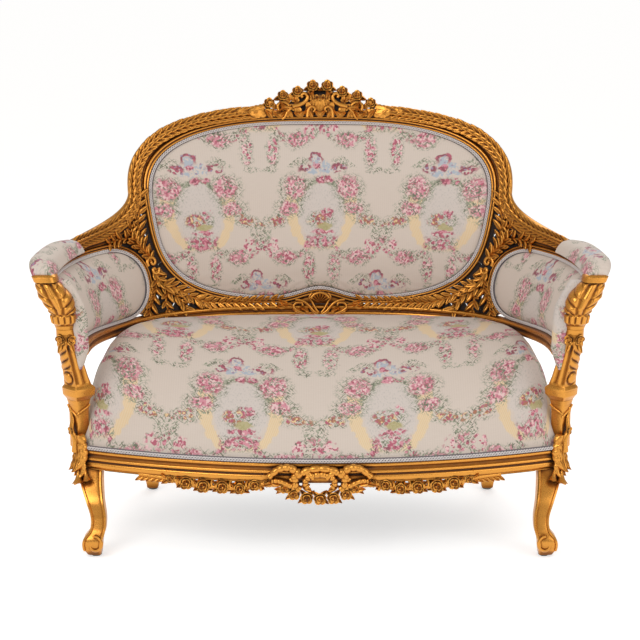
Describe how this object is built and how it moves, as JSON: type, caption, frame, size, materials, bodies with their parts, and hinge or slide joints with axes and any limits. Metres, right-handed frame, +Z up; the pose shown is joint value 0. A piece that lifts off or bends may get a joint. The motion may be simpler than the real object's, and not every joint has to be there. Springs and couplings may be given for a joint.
{
  "type": "settee",
  "caption": "Upholstered settee with a carved gilt frame, an oval back under a rose crest, pierced leaf carving, open padded arms and a domed seat.",
  "frame": {"origin": "on the floor, under the middle of the settee's bounding box", "axes": "+X to the sitter's left, +Y to the back, +Z up"},
  "size_m": [1.3614, 0.7896, 1.06],
  "materials": {
    "gilt_wood": "antique gold leaf over brown",
    "brocade": "woven medallion brocade",
    "gimp": "braided trim",
    "burlap": "coarse weave",
    "webbing": "jute strap",
    "lining": "thin black cotton",
    "spring": "drawn wire",
    "screw": "plain",
    "bare_wood": "unfinished beech",
    "glide": "dark, dull"
  },
  "bodies": {
    "root": {"apron_garland_left": "gilt_wood", "apron_garland_right": "gilt_wood", "apron_wreath": "gilt_wood", "arm_bottom_rail_left": "gilt_wood", "arm_bottom_rail_right": "gilt_wood", "arm_cushion_left": "brocade", "arm_cushion_right": "brocade", "arm_gimp_left": "gimp", "arm_gimp_right": "gimp", "arm_outer_left": "brocade", "arm_outer_right": "brocade", "arm_pad_left": "brocade", "arm_pad_right": "brocade", "arm_post_left": "gilt_wood", "arm_post_right": "gilt_wood", "arm_rail_left": "gilt_wood", "arm_rail_right": "gilt_wood", "arm_ring_left": "gilt_wood", "arm_ring_right": "gilt_wood", "back_bottom_rail": "gilt_wood", "back_burlap": "burlap", "back_cushion": "brocade", "back_gimp": "gimp", "back_outer": "brocade", "back_ring_left": "gilt_wood", "back_ring_right": "gilt_wood", "corner_blocks": "bare_wood", "corner_screws": "screw", "crest": "gilt_wood", "dust_cover": "lining", "foot_glides": "glide", "front_leg_left": "gilt_wood", "front_leg_right": "gilt_wood", "front_rail": "gilt_wood", "knee_carving_left": "gilt_wood", "knee_carving_right": "gilt_wood", "rear_leg_left": "gilt_wood", "rear_leg_right": "gilt_wood", "rear_rail": "gilt_wood", "seat_brace": "bare_wood", "seat_cushion": "brocade", "seat_deck": "burlap", "seat_gimp": "gimp", "seat_springs": "spring", "seat_webbing": "webbing", "shell_carving": "gilt_wood", "side_rail_left": "gilt_wood", "side_rail_right": "gilt_wood", "spandrel_left": "gilt_wood", "spandrel_right": "gilt_wood", "top_rail_left": "gilt_wood", "top_rail_right": "gilt_wood"}
  },
  "joints": []
}
